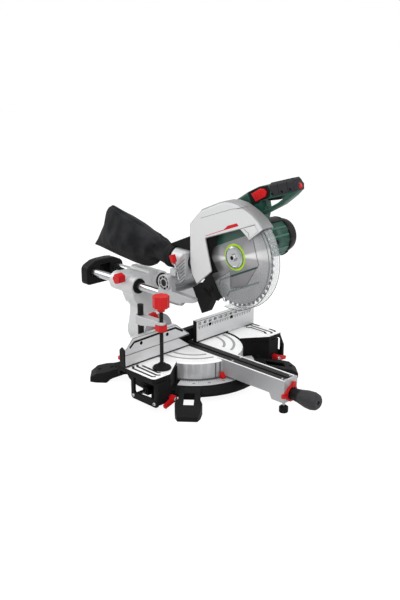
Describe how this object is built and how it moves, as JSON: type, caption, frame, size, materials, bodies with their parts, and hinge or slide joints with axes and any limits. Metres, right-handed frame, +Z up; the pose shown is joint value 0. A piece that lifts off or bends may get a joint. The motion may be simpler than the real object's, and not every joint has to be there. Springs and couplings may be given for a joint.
{
  "type": "sliding mitre saw",
  "caption": "Sliding mitre saw: cast base with a turntable and side extensions, fence, clamp, bevelling rail column and a chopping saw head with blade, clear guard, motor, handle and dust bag.",
  "frame": {"origin": "on the bench under the turntable's axis, in the middle of the object's box", "axes": "+X to the operator's right, +Y to the rear along the rails, +Z up from the bench"},
  "size_m": [0.4847, 0.826, 0.5717],
  "materials": {
    "black_cast": "black powder coat",
    "black_plastic": "fine texture",
    "black_rubber": "matt",
    "bare_aluminium": "machined",
    "silver_paint": "satin casting",
    "light_grey": "satin",
    "steel": "polished",
    "red_plastic": "satin",
    "green_plastic": "fine texture",
    "dark_grip": "matt",
    "clear_plastic": "clear",
    "black_fabric": "woven",
    "copper_winding": "varnished winding"
  },
  "bodies": {
    "base": {"base_casting": "black_cast", "mitre_scale_ring": "bare_aluminium", "fence_left": "bare_aluminium", "fence_right": "bare_aluminium"},
    "left_extension": {"left_extension_frame": "black_cast", "left_extension_rod_front": "steel", "left_extension_rod_rear": "steel"},
    "right_extension": {"right_extension_frame": "black_cast", "right_extension_rod_front": "steel", "right_extension_rod_rear": "steel"},
    "left_extension_lever": {"left_extension_lever": "red_plastic"},
    "right_extension_lever": {"right_extension_lever": "red_plastic"},
    "upper_fence": {"fence_slide_upper": "bare_aluminium", "fence_end_cap": "black_plastic"},
    "fence_lever": {"fence_lever": "red_plastic"},
    "clamp": {"clamp_post": "black_plastic", "clamp_arm": "silver_paint", "clamp_nut": "red_plastic"},
    "clamp_screw": {"clamp_screw": "black_plastic", "clamp_foot": "black_rubber"},
    "clamp_knob": {"clamp_knob": "red_plastic"},
    "turntable": {"turntable": "silver_paint", "kerf_plate_left": "black_plastic", "kerf_plate_right": "black_plastic", "mitre_pointer": "red_plastic"},
    "mitre_grip": {"mitre_grip": "black_rubber", "mitre_lock_rod": "steel"},
    "detent_lever": {"detent_lever": "red_plastic"},
    "arm_foot": {"arm_foot_stud": "steel"},
    "arm_foot_knob": {"arm_foot_knob": "black_rubber"},
    "bevel_arm": {"bevel_arm": "light_grey", "bevel_pivot_bolt": "steel", "rail_bush_left": "black_plastic", "rail_bush_right": "black_plastic"},
    "bevel_lever": {"bevel_lever": "red_plastic"},
    "rail_lock": {"rail_lock_knob": "red_plastic"},
    "slide": {"rail_left": "steel", "rail_right": "steel", "rear_cap": "black_plastic", "head_bracket": "silver_paint", "head_pivot_pin": "steel"},
    "head": {"head_arm": "silver_paint", "blade_cover": "light_grey", "motor_housing": "green_plastic", "motor_end_cap": "black_plastic", "handle_grip": "dark_grip", "chip_deflector": "black_rubber", "dust_bag": "black_fabric", "stator": "copper_winding", "cable_cover": "black_plastic"},
    "blade": {"blade": "steel", "blade_flange": "steel", "blade_bolt": "steel", "spindle": "steel", "spindle_gear": "steel"},
    "armature": {"armature": "steel"},
    "guard": {"lower_guard": "clear_plastic"},
    "trigger": {"trigger": "black_plastic"},
    "lock_off": {"lock_off_slider": "red_plastic"},
    "depth_stop": {"depth_stop_screw": "red_plastic"}
  },
  "joints": [
    {"name": "mitre_turn", "type": "hinge", "parent": "base", "child": "turntable", "pos_m": [0, 0, 0.094], "axis": [0, 0, 1], "range_deg": [-47, 47]},
    {"name": "bevel_tilt", "type": "hinge", "parent": "turntable", "child": "bevel_arm", "pos_m": [0, 0.165, 0.094], "axis": [0, 1, 0], "range_deg": [-28, 2]},
    {"name": "rail_slide", "type": "slide", "parent": "bevel_arm", "child": "slide", "axis": [0, -1, 0], "range_m": [-0.085, 0.084]},
    {"name": "head_chop", "type": "hinge", "parent": "slide", "child": "head", "pos_m": [0, 0.052, 0.267], "axis": [1, 0, 0], "range_deg": [0, 40], "stiffness_Nm_per_rad": 20, "springref_deg": -51.57},
    {"name": "blade_spin", "type": "hinge", "parent": "head", "child": "blade", "pos_m": [0, -0.145, 0.362], "axis": [1, 0, 0], "continuous": true},
    {"name": "armature_spin", "type": "hinge", "parent": "head", "child": "armature", "pos_m": [0, -0.145, 0.389], "axis": [1, 0, 0], "continuous": true},
    {"name": "guard_swing", "type": "hinge", "parent": "head", "child": "guard", "pos_m": [0, -0.145, 0.362], "axis": [1, 0, 0], "range_deg": [-100.1, 0]},
    {"name": "trigger_pull", "type": "hinge", "parent": "head", "child": "trigger", "pos_m": [0.045, -0.264, 0.53], "axis": [1, 0, 0], "range_deg": [0, 8], "stiffness_Nm_per_rad": 1.5, "springref_deg": -11.46},
    {"name": "lock_off_slide", "type": "slide", "parent": "head", "child": "lock_off", "axis": [0, -0.9061, 0.423], "range_m": [0, 0.004], "stiffness_N_per_m": 400, "springref_m": -0.003},
    {"name": "depth_stop_set", "type": "slide", "parent": "head", "child": "depth_stop", "axis": [0, 0.3804, 0.9248], "range_m": [0, 0.012]},
    {"name": "rail_lock_turn", "type": "hinge", "parent": "bevel_arm", "child": "rail_lock", "pos_m": [-0.0423, 0.205, 0.252], "axis": [1, 0, 0], "range_deg": [-180, 180]},
    {"name": "bevel_lever_turn", "type": "hinge", "parent": "turntable", "child": "bevel_lever", "pos_m": [0, 0.1425, 0.094], "axis": [0, 1, 0], "range_deg": [0, 40]},
    {"name": "mitre_grip_turn", "type": "hinge", "parent": "turntable", "child": "mitre_grip", "pos_m": [0, -0.3345, 0.0575], "axis": [0, 1, 0], "range_deg": [-180, 180]},
    {"name": "detent_press", "type": "hinge", "parent": "turntable", "child": "detent_lever", "pos_m": [0, -0.333, 0.036], "axis": [1, 0, 0], "range_deg": [0, 8], "stiffness_Nm_per_rad": 2, "springref_deg": -8.59},
    {"name": "arm_foot_lift", "type": "slide", "parent": "turntable", "child": "arm_foot", "axis": [0, 0, 1], "range_m": [0, 0.0038]},
    {"name": "arm_foot_turn", "type": "hinge", "parent": "arm_foot", "child": "arm_foot_knob", "pos_m": [0, -0.313, 0.0085], "axis": [0, 0, 1], "range_deg": [0, 1080]},
    {"name": "left_extension_slide", "type": "slide", "parent": "base", "child": "left_extension", "axis": [-1, 0, 0], "range_m": [0, 0.08]},
    {"name": "right_extension_slide", "type": "slide", "parent": "base", "child": "right_extension", "axis": [1, 0, 0], "range_m": [0, 0.08]},
    {"name": "left_extension_lock", "type": "hinge", "parent": "base", "child": "left_extension_lever", "pos_m": [-0.184, -0.105, 0.03], "axis": [0, 1, 0], "range_deg": [0, 60]},
    {"name": "right_extension_lock", "type": "hinge", "parent": "base", "child": "right_extension_lever", "pos_m": [0.206, -0.105, 0.03], "axis": [0, -1, 0], "range_deg": [0, 60]},
    {"name": "upper_fence_slide", "type": "slide", "parent": "base", "child": "upper_fence", "axis": [-1, 0, 0], "range_m": [0, 0.06]},
    {"name": "fence_lever_turn", "type": "hinge", "parent": "base", "child": "fence_lever", "pos_m": [-0.206, 0.014, 0.114], "axis": [0, 1, 0], "range_deg": [0, 60]},
    {"name": "clamp_swing", "type": "hinge", "parent": "base", "child": "clamp", "pos_m": [-0.166, 0.0245, 0.094], "axis": [0, 0, 1], "range_deg": [-45, 45]},
    {"name": "clamp_feed", "type": "slide", "parent": "clamp", "child": "clamp_screw", "axis": [0, 0, 1], "range_m": [0, 0.0121]},
    {"name": "clamp_turn", "type": "hinge", "parent": "clamp_screw", "child": "clamp_knob", "pos_m": [-0.176, -0.064, 0.243], "axis": [0, 0, 1], "range_deg": [0, 1440]}
  ],
  "couplings": [
    {"joint": "armature_spin", "follows": "blade_spin", "ratio": -4.4},
    {"joint": "guard_swing", "follows": "head_chop", "ratio": -2.5},
    {"joint": "arm_foot_lift", "follows": "arm_foot_turn", "m_per_rad": 0.00019894},
    {"joint": "clamp_feed", "follows": "clamp_turn", "m_per_rad": 0.00047746}
  ]
}
